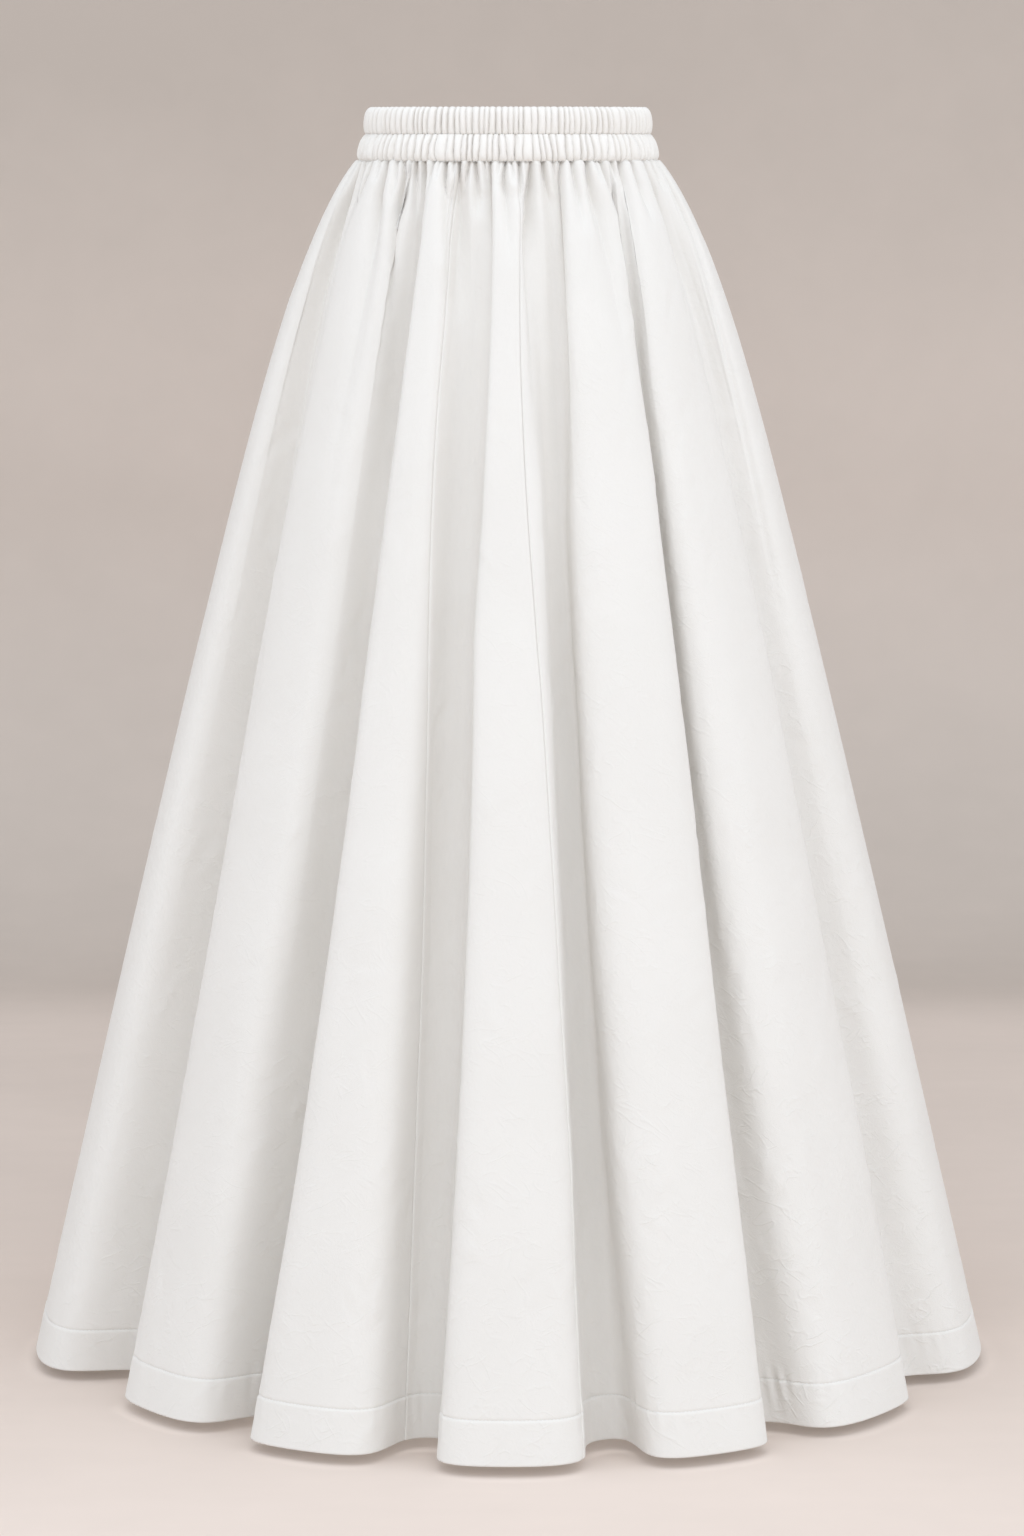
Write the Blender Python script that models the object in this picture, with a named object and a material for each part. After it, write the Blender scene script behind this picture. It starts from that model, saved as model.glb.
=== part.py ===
# Gathered maxi skirt with a two channel elastic waistband, filled out as if it were worn.
# Metres, +Z up, front toward -Y. The origin is the centre of the waistband at half its height.

from collections import namedtuple

import bmesh
import bpy
import numpy as np

COLLECTION_NAME = "gathered_maxi_skirt"

# Waistband: two elastic channels, one above the other
WAIST_HALF_WIDTH = 0.117
WAIST_HALF_DEPTH = 0.0885
BAND_TOP = 0.0228
CHANNEL_SEAM = 0.0008
BAND_BOTTOM = -0.0207
RIDGES_PER_CHANNEL = 69
COLUMNS_PER_RIDGE = 3
RIDGE_DEPTH = 0.0014
RIDGE_UNEVENNESS = 0.28
LOWER_RIDGE_SLANT = 0.45

# Skirt: six gores gathered into the band, with a turned hem
SEAM_GAP = 0.0003
SKIRT_TOP = BAND_BOTTOM - SEAM_GAP
HEM_LEVEL = -1.0169
SKIRT_DROP = SKIRT_TOP - HEM_LEVEL
GATHERED_OUTSET = 0.0052
HEM_DEPTH = 0.034
CLOTH_WALL = 0.0012
HEM_WALL = 0.0022
HIP_SWELL = 0.027
HIP_LENGTH = 0.075
FRONT_SWELL_SHARE = 0.35

# Large folds: how they grow down the skirt and how their sides stand at the hem
FOLD_GROWTH = 0.65
CREST_WIDENING = 0.55
SIDE_STEEPNESS = 0.85
VALLEY_NARROWING = 1.15

# Gathers just under the band
GATHERS_PER_FOLD = 5
COLUMNS_PER_GATHER = 4
GATHER_AT_SEAM = 0.0009
GATHER_DEPTH = 0.0021
GATHER_RISE = 0.012
GATHER_LENGTHS = (0.11, 0.05, 0.08, 0.045, 0.095)

SEED = 7

# Distances below the skirt's top edge at which its sections are taken
SECTION_DROPS = (
    0.0, 0.010, 0.028, 0.062, 0.12, 0.22, 0.42, 0.68,
    SKIRT_DROP - HEM_DEPTH - 0.0015, SKIRT_DROP - HEM_DEPTH, SKIRT_DROP,
)

# A row for each large fold, starting at the valley on its left. Angles are in degrees from the
# front, positive toward +X. At the waist they are where the fold's raised face begins and ends.
# Reaches are distances from the skirt's axis at the hem.
Fold = namedtuple("Fold", "hem_valley waist_left waist_right valley_reach crest_reach")
FOLDS = (
    Fold(-115.0, -106.0, -80.0, 0.304, 0.400),
    Fold(-67.0, -66.0, -40.0, 0.296, 0.362),
    Fold(-39.5, -31.0, -20.5, 0.288, 0.369),
    Fold(-13.4, -7.5, 5.0, 0.294, 0.376),
    Fold(13.4, 19.5, 41.0, 0.292, 0.378),
    Fold(38.5, 47.5, 62.0, 0.302, 0.377),
    Fold(67.5, 76.0, 104.0, 0.304, 0.401),
    Fold(116.0, 117.0, 133.0, 0.298, 0.370),
    Fold(141.5, 142.0, 160.0, 0.288, 0.374),
    Fold(166.5, 170.0, 185.0, 0.292, 0.377),
    Fold(194.0, 196.0, 212.0, 0.290, 0.372),
    Fold(219.0, 221.0, 242.0, 0.296, 0.366),
)
FACE_START = 0.25
FACE_END = 0.75

# The gores, each with the place of the seam on its left, counted in folds along the table above
Gore = namedtuple("Gore", "name seam")
GORES = (
    Gore("gore_front_left", 0.50),
    Gore("gore_front_centre", 2.85),
    Gore("gore_front_right", 3.65),
    Gore("gore_back_right", 6.50),
    Gore("gore_back_centre", 8.75),
    Gore("gore_back_left", 9.75),
)

# Outward offset of each channel's outer face from the waist ellipse, by height, and how deep its
# ridges are there. The last two rows of each are the plain inner face.
Level = namedtuple("Level", "height offset ridge")
UPPER_PROFILE = (
    Level(CHANNEL_SEAM + SEAM_GAP / 2, -0.0004, 0.5),
    Level(0.0065, 0.0010, 1.0),
    Level(0.0170, 0.0003, 1.0),
    Level(BAND_TOP, -0.0036, 0.4),
    Level(0.0216, -0.0058, 0.0),
    Level(CHANNEL_SEAM + SEAM_GAP / 2, -0.0050, 0.0),
)
LOWER_PROFILE = (
    Level(BAND_BOTTOM, 0.0056, 0.5),
    Level(-0.0155, 0.0068, 1.0),
    Level(-0.0060, 0.0050, 1.0),
    Level(CHANNEL_SEAM - SEAM_GAP / 2, 0.0002, 0.5),
    Level(CHANNEL_SEAM - SEAM_GAP / 2, -0.0050, 0.0),
    Level(BAND_BOTTOM, -0.0004, 0.0),
)

WHITE_COTTON = (0.86, 0.86, 0.85, 1.0)
WHITE_CHANNEL = (0.84, 0.84, 0.83, 1.0)
COTTON_ROUGHNESS = 0.85


def clear_scene():
    for item in list(bpy.data.objects):
        bpy.data.objects.remove(item, do_unlink=True)


def cloth_material(name, colour):
    material = bpy.data.materials.new(name)
    material.use_nodes = True
    shader = material.node_tree.nodes["Principled BSDF"]
    shader.inputs["Base Color"].default_value = colour
    shader.inputs["Roughness"].default_value = COTTON_ROUGHNESS
    shader.inputs["Metallic"].default_value = 0.0
    return material


def loft(collection, name, sections, closed, colour):
    """Skin a row of like sections, each a closed loop of points round the wall.

    An open row is capped across the wall, from each point to the one opposite it in the loop.
    """
    mesh_data = bmesh.new()
    grid = [[mesh_data.verts.new(point) for point in section] for section in sections]
    size = len(grid[0])
    spans = len(grid) if closed else len(grid) - 1
    for i in range(spans):
        here = grid[i]
        beyond = grid[(i + 1) % len(grid)]
        for j in range(size):
            k = (j + 1) % size
            mesh_data.faces.new((here[j], here[k], beyond[k], beyond[j]))
    if not closed:
        for end in (grid[0], grid[-1]):
            for j in range(size // 2 - 1):
                mesh_data.faces.new((end[j], end[j + 1], end[size - 2 - j], end[size - 1 - j]))
    bmesh.ops.recalc_face_normals(mesh_data, faces=mesh_data.faces)
    mesh = bpy.data.meshes.new(name)
    mesh_data.to_mesh(mesh)
    mesh_data.free()
    mesh.shade_smooth()
    mesh.materials.append(cloth_material(name + "_cotton", colour))
    part = bpy.data.objects.new(name, mesh)
    collection.objects.link(part)
    return part


def direction(degrees):
    """Unit vectors in plan for angles from the front, positive toward +X."""
    angle = np.radians(degrees)
    return np.stack([np.sin(angle), -np.cos(angle)], axis=-1)


def along_folds(position, column, full_turn=0.0):
    """A column of the fold table at positions counted in folds, straight between valleys."""
    values = [getattr(fold, column) for fold in FOLDS]
    return np.interp(position, range(len(FOLDS) + 1), values + [values[0] + full_turn])


def waist_angle(position):
    """Angle at the waist, straight between the edges of the folds' raised faces."""
    places, angles = [], []
    for number in (-1, *range(len(FOLDS)), len(FOLDS)):
        fold = FOLDS[number % len(FOLDS)]
        turn = 360.0 * (number // len(FOLDS))
        places += [number + FACE_START, number + FACE_END]
        angles += [fold.waist_left + turn, fold.waist_right + turn]
    return np.interp(position, places, angles)


def hem_points(position):
    """Middle line of the hem in plan, and the folds' way out from it."""
    index = np.floor(position).astype(int)
    turn = 2.0 * np.pi * (position - index)
    width = along_folds(index + 1.0, "hem_valley", 360.0) - along_folds(index, "hem_valley", 360.0)
    middle_angle = along_folds(position, "hem_valley", 360.0)
    sway = -CREST_WIDENING * np.sin(turn) + SIDE_STEEPNESS * np.sin(2.0 * turn) / 2.0
    angle = middle_angle + width * sway / (2.0 * np.pi)
    valley = along_folds(position, "valley_reach")
    crest = np.array([fold.crest_reach for fold in FOLDS])[index]
    rise = 1.0 - ((1.0 + np.cos(turn)) / 2.0) ** VALLEY_NARROWING
    reach = valley + (crest - valley) * rise
    middle_reach = (valley + along_folds(position, "crest_reach")) / 2.0
    middle = direction(middle_angle) * middle_reach[:, None]
    return middle, direction(angle) * reach[:, None] - middle


def waist_points(position, outset):
    """Points of the waist ellipse, moved out, and its outward normals in plan."""
    spoke = direction(waist_angle(position))
    normal = spoke / np.array([WAIST_HALF_WIDTH, WAIST_HALF_DEPTH])
    normal /= np.linalg.norm(normal, axis=1, keepdims=True)
    return spoke * np.array([WAIST_HALF_WIDTH, WAIST_HALF_DEPTH]) + normal * outset, normal


def skirt_grid():
    """Outer and inner points of the whole skirt, by column of cloth and section."""
    columns = len(FOLDS) * GATHERS_PER_FOLD * COLUMNS_PER_GATHER
    column = np.arange(columns)
    position = column * len(FOLDS) / columns
    phase = 2.0 * np.pi * column / COLUMNS_PER_GATHER
    gather_number = (column + COLUMNS_PER_GATHER // 2) // COLUMNS_PER_GATHER
    length = np.array(GATHER_LENGTHS)[gather_number % len(GATHER_LENGTHS)]
    waist, normal = waist_points(position, GATHERED_OUTSET)
    middle, fold = hem_points(position)
    hip = HIP_SWELL * (FRONT_SWELL_SHARE + (1.0 - FRONT_SWELL_SHARE) * normal[:, 0] ** 4)
    outer = np.zeros((columns, len(SECTION_DROPS), 3))
    wall = np.zeros(len(SECTION_DROPS))
    for row, drop in enumerate(SECTION_DROPS):
        share = drop / SKIRT_DROP
        swell = hip * (1.0 - np.exp(-drop / HIP_LENGTH)) * (1.0 - share)
        rise = GATHER_AT_SEAM + (GATHER_DEPTH - GATHER_AT_SEAM) * min(1.0, drop / GATHER_RISE)
        gather = -rise * np.exp(-((drop / length) ** 2)) * np.cos(phase)
        plan = waist + (middle - waist) * share + fold * share ** FOLD_GROWTH
        outer[:, row, :2] = plan + normal * (swell + gather)[:, None]
        outer[:, row, 2] = SKIRT_TOP - drop
        wall[row] = HEM_WALL if drop >= SKIRT_DROP - HEM_DEPTH else CLOTH_WALL
    along = np.roll(outer, -1, axis=0) - np.roll(outer, 1, axis=0)
    inward = np.cross(along, (0.0, 0.0, -1.0))
    inward /= np.linalg.norm(inward, axis=2, keepdims=True)
    return outer, outer + inward * wall[None, :, None]


def pulled_back(edge, neighbour):
    """A seam edge drawn half the seam's gap toward the gore that it belongs to."""
    step = neighbour - edge
    return edge + step / np.linalg.norm(step, axis=1, keepdims=True) * SEAM_GAP / 2.0


def build_gores(collection):
    outer, inner = skirt_grid()
    per_fold = GATHERS_PER_FOLD * COLUMNS_PER_GATHER
    for number, gore in enumerate(GORES):
        following = GORES[(number + 1) % len(GORES)].seam
        if following < gore.seam:
            following += len(FOLDS)
        columns = np.arange(round(gore.seam * per_fold), round(following * per_fold) + 1) % len(outer)
        out = outer[columns]
        back = inner[columns]
        for side in (out, back):
            side[0] = pulled_back(side[0], side[1])
            side[-1] = pulled_back(side[-1], side[-2])
        sections = [list(out[i]) + list(back[i][::-1]) for i in range(len(columns))]
        loft(collection, gore.name, sections, False, WHITE_COTTON)


def ridge_angles(generator):
    """Angles of the columns of an uneven ring of ridges, and where the grooves are."""
    widths = 1.0 + RIDGE_UNEVENNESS * generator.uniform(-1.0, 1.0, RIDGES_PER_CHANNEL)
    starts = np.concatenate([[0.0], np.cumsum(widths)]) / widths.sum() * 360.0
    angles = []
    for i in range(RIDGES_PER_CHANNEL):
        for j in range(COLUMNS_PER_RIDGE):
            angles.append(starts[i] + (starts[i + 1] - starts[i]) * j / COLUMNS_PER_RIDGE)
    groove = np.tile([1.0] + [0.0] * (COLUMNS_PER_RIDGE - 1), RIDGES_PER_CHANNEL)
    return np.array(angles), groove


def build_channel(collection, name, profile, slant, generator):
    angles, groove = ridge_angles(generator)
    pitch = 360.0 / RIDGES_PER_CHANNEL
    heights = [level.height for level in profile]
    middle = (max(heights) + min(heights)) / 2.0
    reach = max(heights) - min(heights)
    rings = []
    for level in profile:
        lean = slant * pitch * (level.height - middle) / reach
        spoke = direction(angles + lean * np.sin(np.radians(angles * 3.0)))
        normal = spoke / np.array([WAIST_HALF_WIDTH, WAIST_HALF_DEPTH])
        normal /= np.linalg.norm(normal, axis=1, keepdims=True)
        offset = level.offset - RIDGE_DEPTH * level.ridge * groove
        ring = spoke * np.array([WAIST_HALF_WIDTH, WAIST_HALF_DEPTH]) + normal * offset[:, None]
        rings.append(np.column_stack([ring, np.full(len(angles), level.height)]))
    sections = [[ring[i] for ring in rings] for i in range(len(angles))]
    loft(collection, name, sections, True, WHITE_CHANNEL)


def main():
    clear_scene()
    collection = bpy.data.collections.new(COLLECTION_NAME)
    bpy.context.scene.collection.children.link(collection)
    generator = np.random.default_rng(SEED)
    build_channel(collection, "waistband_upper_channel", UPPER_PROFILE, 0.0, generator)
    build_channel(collection, "waistband_lower_channel", LOWER_PROFILE, LOWER_RIDGE_SLANT, generator)
    build_gores(collection)


main()
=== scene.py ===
import math

import bpy
import numpy as np
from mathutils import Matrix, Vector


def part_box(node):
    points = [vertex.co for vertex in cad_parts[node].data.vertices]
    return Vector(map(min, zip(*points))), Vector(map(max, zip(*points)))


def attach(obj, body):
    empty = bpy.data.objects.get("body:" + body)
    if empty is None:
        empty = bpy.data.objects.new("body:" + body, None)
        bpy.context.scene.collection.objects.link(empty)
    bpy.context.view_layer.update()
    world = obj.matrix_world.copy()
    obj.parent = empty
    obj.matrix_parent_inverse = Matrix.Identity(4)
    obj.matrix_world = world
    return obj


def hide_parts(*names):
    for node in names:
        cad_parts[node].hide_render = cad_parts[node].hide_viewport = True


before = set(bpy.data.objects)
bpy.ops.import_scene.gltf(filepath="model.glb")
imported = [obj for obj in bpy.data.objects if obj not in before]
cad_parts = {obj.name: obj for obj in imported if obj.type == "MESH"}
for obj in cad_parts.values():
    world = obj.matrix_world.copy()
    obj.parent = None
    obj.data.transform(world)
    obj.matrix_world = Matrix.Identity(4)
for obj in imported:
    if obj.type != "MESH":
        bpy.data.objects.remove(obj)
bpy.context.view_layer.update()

# White cotton maxi skirt: six flared gores gathered on to a band of two elastic channels.
# Metres, front toward -Y. The tables of gathers and creases are in millimetres.

mm = 0.001
print("frame loaded")


# A socket that can be used in sums, so that shader and geometry maths read as plain expressions
class Wire:
    def __init__(self, tree, socket):
        self.tree = tree
        self.socket = socket

    def maths(self, operation, *others):
        made = self.tree.node("ShaderNodeMath", {"operation": operation}, dict(enumerate((self,) + others)))
        return self.tree.out(made)

    def __add__(self, other): return self.maths("ADD", other)
    def __radd__(self, other): return self.maths("ADD", other)
    def __mul__(self, other): return self.maths("MULTIPLY", other)
    def __rmul__(self, other): return self.maths("MULTIPLY", other)
    def __sub__(self, other): return self.maths("SUBTRACT", other)
    def __rsub__(self, other): return (self * -1.0).maths("ADD", other)
    def __truediv__(self, other): return self.maths("DIVIDE", other)
    def __pow__(self, other): return self.maths("POWER", other)
    def size(self): return self.maths("ABSOLUTE")
    def floor(self): return self.maths("FLOOR")
    def sine(self): return self.maths("SINE")
    def cosine(self): return self.maths("COSINE")
    def wrapped(self, length): return self.maths("FLOORED_MODULO", length)
    def atMost(self, limit): return self.maths("MINIMUM", limit)
    def atLeast(self, limit): return self.maths("MAXIMUM", limit)

    # 1 where the value is at a middle, falling to 0 on both sides over a width
    def near(self, middle, width):
        away = (self - middle) / width
        return (away * away * -1.0).maths("EXPONENT")

    # 0 below a first value, 1 above a second, smooth between
    def ramp(self, low, high):
        made = self.tree.node("ShaderNodeMapRange", {"interpolation_type": "SMOOTHSTEP"},
                              {0: self, 1: low, 2: high, 3: 0.0, 4: 1.0})
        return self.tree.out(made)


class Tree:
    def __init__(self, nodeTree):
        self.made = nodeTree

    def node(self, kind, settings=None, inputs=None):
        made = self.made.nodes.new(kind)
        for name, value in (settings or {}).items():
            setattr(made, name, value)
        for key, value in (inputs or {}).items():
            if isinstance(value, Wire):
                self.made.links.new(value.socket, made.inputs[key])
            else:
                made.inputs[key].default_value = value
        return made

    def out(self, made, key=0):
        return Wire(self, made.outputs[key])

    def noise(self, place, scale, detail=2.0, rough=0.5, distortion=0.0):
        return self.out(self.node("ShaderNodeTexNoise", {"noise_dimensions": "3D"},
                                  {"Vector": place, "Scale": scale, "Detail": detail,
                                   "Roughness": rough, "Distortion": distortion}))

    def vector(self, x, y, z):
        return self.out(self.node("ShaderNodeCombineXYZ", {}, {0: x, 1: y, 2: z}))

    def parts(self, vector):
        split = self.node("ShaderNodeSeparateXYZ", {}, {0: vector})
        return [self.out(split, key) for key in range(3)]

    def mixColour(self, share, first, second):
        made = self.node("ShaderNodeMix", {"data_type": "RGBA"}, {0: share, 6: first, 7: second})
        return self.out(made, 2)

    def bump(self, height, strength=1.0, distance=1.0):
        inputs = {"Height": height, "Strength": strength, "Distance": distance}
        return self.out(self.node("ShaderNodeBump", {}, inputs))

    def surface(self, inputs):
        shader = self.node("ShaderNodeBsdfPrincipled", {}, inputs)
        self.node("ShaderNodeOutputMaterial", {}, {"Surface": self.out(shader)})


def putInScene(name, data):
    made = bpy.data.objects.new(name, data)
    bpy.context.scene.collection.objects.link(made)
    return made


# Materials

cottonLook = {
    "white": (0.750, 0.721, 0.678, 1.0),
    "shade": (0.729, 0.699, 0.655, 1.0),     # faint unevenness of the bleached cloth
    "roughness": 0.86,
    "sheen": 0.18,
    "threadPitch": 0.42 * mm,
    "threadHeight": 0.020 * mm,
    "slubHeight": 0.030 * mm,
    "crinkleHeight": 0.28 * mm,
    "fineCrinkleHeight": 0.09 * mm,
    # two sets of crease lines each: lean, stretch, scale, thinness and where in the noise
    "crinkles": [(0.62, 0.42, 70.0, 0.030, 5.0), (-0.55, 0.45, 82.0, 0.026, 9.0)],
    "fineCrinkles": [(0.85, 0.40, 150.0, 0.040, 14.0), (0.15, 0.40, 135.0, 0.035, 21.0)],
}
# The band's cotton is the skirt's, painted about 6% paler all over: painted light on the ribbed band
bandLookPaintedPaler = dict(cottonLook, white=(0.792, 0.762, 0.718, 1.0), shade=(0.774, 0.743, 0.698, 1.0))
threadLook = {"light": (0.83, 0.825, 0.81, 1.0), "dark": (0.74, 0.735, 0.72, 1.0), "roughness": 0.6,
              "twistScale": 2600.0, "twistHeight": 0.05 * mm}


def newMaterial(name):
    material = bpy.data.materials.new(name)
    material.use_nodes = True
    material.node_tree.nodes.clear()
    return material, Tree(material.node_tree)


# Short fine crease lines that lean one way: where a stretched noise passes its middle, a low ridge
def crinkle(tree, across, down, lean, stretch, scale, thin, offset):
    turned = tree.vector((across * math.cos(lean) + down * math.sin(lean)) * stretch,
                         down * math.cos(lean) - across * math.sin(lean), offset)
    field = tree.noise(turned, scale, 1.5, 0.45, 0.35)
    gaps = tree.noise(tree.vector(across, down, offset + 3.0), scale * 0.55, 1.0)
    return field.near(0.5, thin) * gaps.ramp(0.46, 0.62)


def makeCotton(name, look, crinkled):
    material, tree = newMaterial(name)
    across, down, _ = tree.parts(tree.out(tree.node("ShaderNodeUVMap", {"uv_map": "cloth"})))
    flat = tree.vector(across, down, 0.0)

    turn = 2.0 * math.pi / look["threadPitch"]
    warp, weft = (across * turn).sine(), (down * turn).sine()
    weave = (warp * weft) * look["threadHeight"]
    slubs = tree.noise(tree.vector(across * 5.0, down * 0.8, 1.0), 420.0, 2.0)
    slubs = slubs + tree.noise(tree.vector(across * 0.8, down * 5.0, 2.0), 420.0, 2.0)
    height = weave + slubs * look["slubHeight"]

    if crinkled:
        creased = tree.out(tree.node("ShaderNodeAttribute", {"attribute_name": "creased"}), "Fac")
        coarse, fine = (crinkle(tree, across, down, *first) + crinkle(tree, across, down, *second)
                        for first, second in (look["crinkles"], look["fineCrinkles"]))
        height = height + coarse * creased * look["crinkleHeight"]
        height = height + fine * (creased * 0.75 + 0.25) * look["fineCrinkleHeight"]

    patches = tree.noise(flat, 9.0, 3.0).ramp(0.35, 0.7)
    threads = tree.noise(tree.vector(across * 9.0, down, 4.0), 160.0, 2.0).ramp(0.3, 0.8)
    tree.surface({
        "Base Color": tree.mixColour(patches * 0.6 + threads * 0.4, look["white"], look["shade"]),
        "Roughness": tree.noise(flat, 60.0, 2.0) * 0.08 + (look["roughness"] - 0.04),
        "Normal": tree.bump(height),
        "Sheen Weight": look["sheen"],
        "Sheen Roughness": 0.5,
        "Specular IOR Level": 0.25,
    })
    return material


def makeThread(name, look):
    material, tree = newMaterial(name)
    place = tree.out(tree.node("ShaderNodeTexCoord"), "Object")
    twist = tree.noise(place, look["twistScale"], 1.0)
    tree.surface({
        "Base Color": tree.mixColour(twist, look["light"], look["dark"]),
        "Roughness": look["roughness"],
        "Normal": tree.bump(twist, 0.6, look["twistHeight"]),
    })
    return material


skirtCotton = makeCotton("skirtCotton", cottonLook, True)
bandCotton = makeCotton("waistbandCotton", bandLookPaintedPaler, False)
whiteThread = makeThread("whiteThread", threadLook)
print("materials made")


# The skirt's form. Its solids have the same one, with wider valleys that don't lean.

skirtForm = {
    "waistHalfWidth": 0.117,
    "waistHalfDepth": 0.0885,
    "gatheredOutset": 0.0052,
    "hipSwell": 0.027,
    "hipLength": 0.075,
    "frontSwellShare": 0.35,
    "foldGrowth": 0.65,
    "crestWidening": 0.55,
    "sideSteepness": 0.85,
    "valleyNarrowing": 1.50,
    "crispSide": 0.13,         # how far a valley's lean reaches on its crisp side, in folds
    "fillWidth": 0.18,
    "edgeShiftWidth": 0.16,
    "hemTurn": 0.034,
}

# A row for each large fold, from the valley on its left: that valley's angle at the hem, the
# angles at the waist where its raised face begins and ends, and its reaches at the hem.
folds = np.array([
    (-115.0, -106.0, -80.0, 0.304, 0.400),
    (-67.0, -66.0, -40.0, 0.296, 0.362),
    (-39.5, -31.0, -20.5, 0.288, 0.369),
    (-13.4, -7.5, 5.0, 0.294, 0.376),
    (13.4, 19.5, 41.0, 0.292, 0.378),
    (38.5, 47.5, 62.0, 0.302, 0.377),
    (67.5, 76.0, 104.0, 0.304, 0.401),
    (116.0, 117.0, 133.0, 0.298, 0.370),
    (141.5, 142.0, 160.0, 0.288, 0.374),
    (166.5, 170.0, 185.0, 0.292, 0.377),
    (194.0, 196.0, 212.0, 0.290, 0.372),
    (219.0, 221.0, 242.0, 0.296, 0.366),
])
hemValley, waistLeft, waistRight, valleyReach, crestReach = folds.T
foldCount = len(folds)
# Each valley leans under the fold on its right (or its left, below 0), as a share of a fold
valleyLean = np.array([0.04, 0.04, 0.12, 0.085, 0.06, -0.11, -0.12, -0.06, 0.07, -0.07, 0.08, 0.06])
# How far some valleys are filled out at the hem, in metres
valleyFill = np.array([0.0, 0.0, 0.0, 0.008, 0.018, 0.014, 0.034, 0.0, 0.0, 0.006, 0.0, 0.0])
# Where a fold's edge hangs further round at mid-height: place, metres
edgeShifts = [(2.31, 0.013), (3.22, 0.010), (4.22, -0.010), (5.25, -0.008), (5.65, 0.012), (8.30, -0.010),
              (9.70, 0.012), (11.32, 0.010)]
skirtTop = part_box("gore_front_centre")[1][2]
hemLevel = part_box("gore_front_centre")[0][2]
skirtDrop = skirtTop - hemLevel
stitchDrop = skirtDrop - skirtForm["hemTurn"]


def direction(degrees):
    angle = np.radians(degrees)
    return np.stack([np.sin(angle), -np.cos(angle)], axis=-1)


# Points on the waist's oval at some angles, and the directions outward from them
def waistOval(degrees):
    halves = np.array([skirtForm["waistHalfWidth"], skirtForm["waistHalfDepth"]])
    spoke = direction(degrees)
    outward = spoke / halves
    outward /= np.linalg.norm(outward, axis=-1, keepdims=True)
    return spoke * halves, outward


# Folds from a place to others, the short way round the skirt
def aroundFrom(place, middle):
    return (place - middle + foldCount / 2.0) % foldCount - foldCount / 2.0


# A column of the fold table at places counted in folds, straight between the rows
def between(values, place, fullTurn=0.0):
    lower = np.floor(place).astype(int)
    first = values[lower % foldCount] + fullTurn * (lower // foldCount)
    second = values[(lower + 1) % foldCount] + fullTurn * ((lower + 1) // foldCount)
    return first + (second - first) * (place - lower)


def waistAngle(place):
    places, angles = [], []
    for number in range(-2, foldCount + 3):
        turn = 360.0 * (number // foldCount)
        places += [number + 0.25, number + 0.75]
        angles += [waistLeft[number % foldCount] + turn, waistRight[number % foldCount] + turn]
    return np.interp(place, places, angles)


def skirtSurface(place, drop):
    form = skirtForm
    share = np.clip(drop / skirtDrop, 0.0, None)
    oval, outward = waistOval(waistAngle(place))
    waist = oval + outward * form["gatheredOutset"]

    lower = np.floor(place).astype(int)
    turn = 2.0 * np.pi * (place - lower)
    middleAngle = between(hemValley, place, 360.0)
    width = between(hemValley, lower + 1.0, 360.0) - between(hemValley, lower * 1.0, 360.0)
    sway = -form["crestWidening"] * np.sin(turn) + form["sideSteepness"] * np.sin(2.0 * turn) / 2.0
    angle = middleAngle + width * sway / (2.0 * np.pi)
    nearest = np.round(place).astype(int)
    away = place - nearest
    lean = valleyLean[nearest % foldCount]
    leanWidth = (between(hemValley, nearest + 1.0, 360.0) - between(hemValley, nearest - 1.0, 360.0)) / 2.0
    crisp = np.exp(-(away / form["crispSide"]) ** 2)
    angle = angle + leanWidth * lean * np.where(away * lean > 0.0, crisp, np.cos(np.pi * away) ** 2)
    valley = between(valleyReach, place)
    rise = 1.0 - ((1.0 + np.cos(turn)) / 2.0) ** form["valleyNarrowing"]
    reach = valley + (crestReach[lower % foldCount] - valley) * rise
    reach = reach + valleyFill[nearest % foldCount] * np.exp(-(away / form["fillWidth"]) ** 2)
    middle = direction(middleAngle) * ((valley + between(crestReach, place)) / 2.0)[..., None]
    fold = direction(angle) * reach[..., None] - middle

    side = form["frontSwellShare"] + (1.0 - form["frontSwellShare"]) * outward[..., 0] ** 4
    swell = form["hipSwell"] * side * (1.0 - np.exp(-np.maximum(drop, 0.0) / form["hipLength"])) * (1.0 - share)
    plan = waist + (middle - waist) * share[..., None] + fold * share[..., None] ** form["foldGrowth"]
    plan = plan + outward * swell[..., None]
    for middlePlace, distance in edgeShifts:
        around = aroundFrom(place, middlePlace)
        shift = distance * 4.0 * share * (1.0 - share) * np.exp(-(around / form["edgeShiftWidth"]) ** 2)
        plan = plan + direction(middleAngle + 90.0) * shift[..., None]
    return np.concatenate([plan, (skirtTop - drop)[..., None]], axis=-1)


# Points on the form, its outward normals, and the metres of cloth to one fold along a row
def skirtFrame(place, drop):
    stepPlace, stepDrop, leastMetric = 0.0015, 0.0008, 0.02
    along = skirtSurface(place + stepPlace, drop) - skirtSurface(place - stepPlace, drop)
    below = skirtSurface(place, drop + stepDrop)
    above = skirtSurface(place, drop - stepDrop)
    normal = np.cross(below - above, along)
    normal /= np.linalg.norm(normal, axis=-1, keepdims=True)
    metric = np.maximum(np.linalg.norm(along, axis=-1) / (2.0 * stepPlace), leastMetric)
    return skirtSurface(place, drop), normal, metric
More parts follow.
